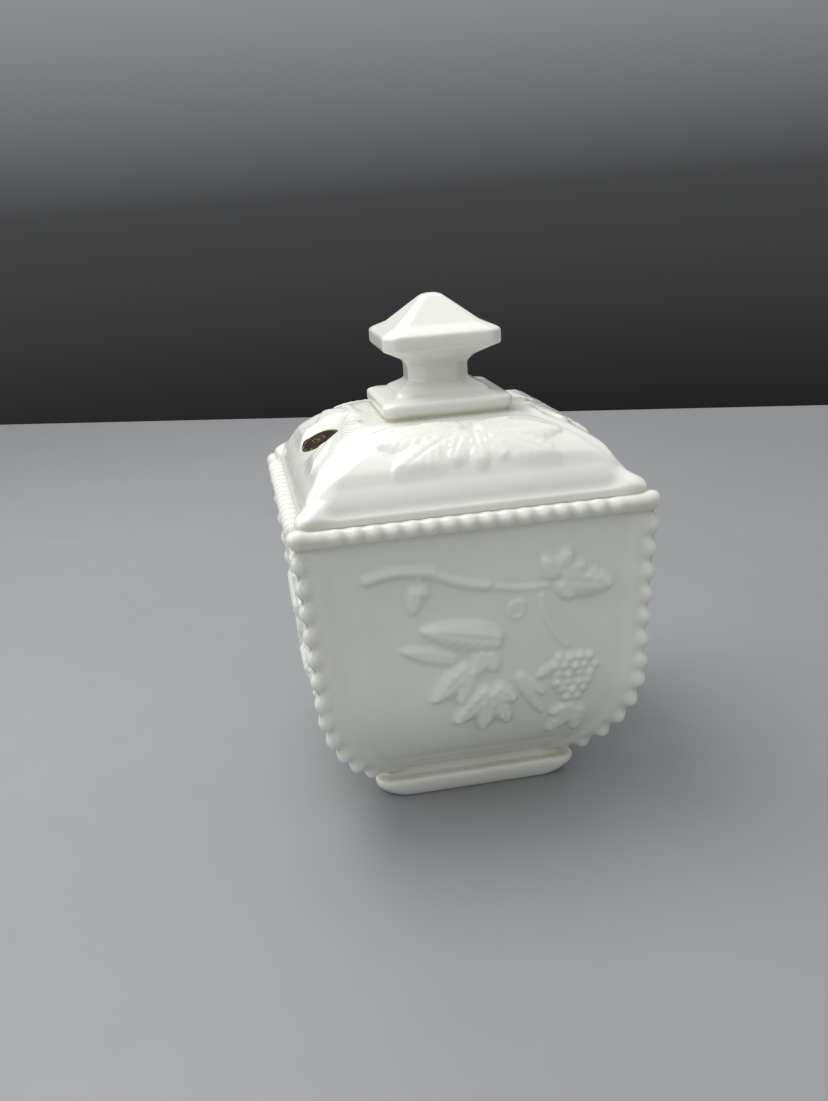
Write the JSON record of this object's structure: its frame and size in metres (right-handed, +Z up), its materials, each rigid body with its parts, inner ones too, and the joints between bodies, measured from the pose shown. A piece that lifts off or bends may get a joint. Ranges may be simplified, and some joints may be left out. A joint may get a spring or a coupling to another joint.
{
  "type": "covered cream jar",
  "caption": "Square footed cream jar in opaque white pressed glass with a beaded rim and corners and a domed lift-off lid with a square finial.",
  "frame": {"origin": "centre of the underside of the square foot, on the surface the jar stands on", "axes": "+Z up along the lift of the lid, -Y towards the front panel, +X to the right; the label is on the -X slope of the lid"},
  "size_m": [0.102, 0.102, 0.145],
  "materials": {
    "milk_glass_jar": "glossy opaque milk glass",
    "milk_glass_lid": "glossy opaque milk glass",
    "dark_foil": "dark printed foil on paper"
  },
  "bodies": {
    "jar": {"jar_body": "milk_glass_jar"},
    "cover": {"lid": "milk_glass_lid", "foil_label": "dark_foil"}
  },
  "joints": [
    {"name": "lid_lift", "type": "slide", "parent": "jar", "child": "cover", "axis": [0, 0, 1], "range_m": [0, 0.12]}
  ]
}
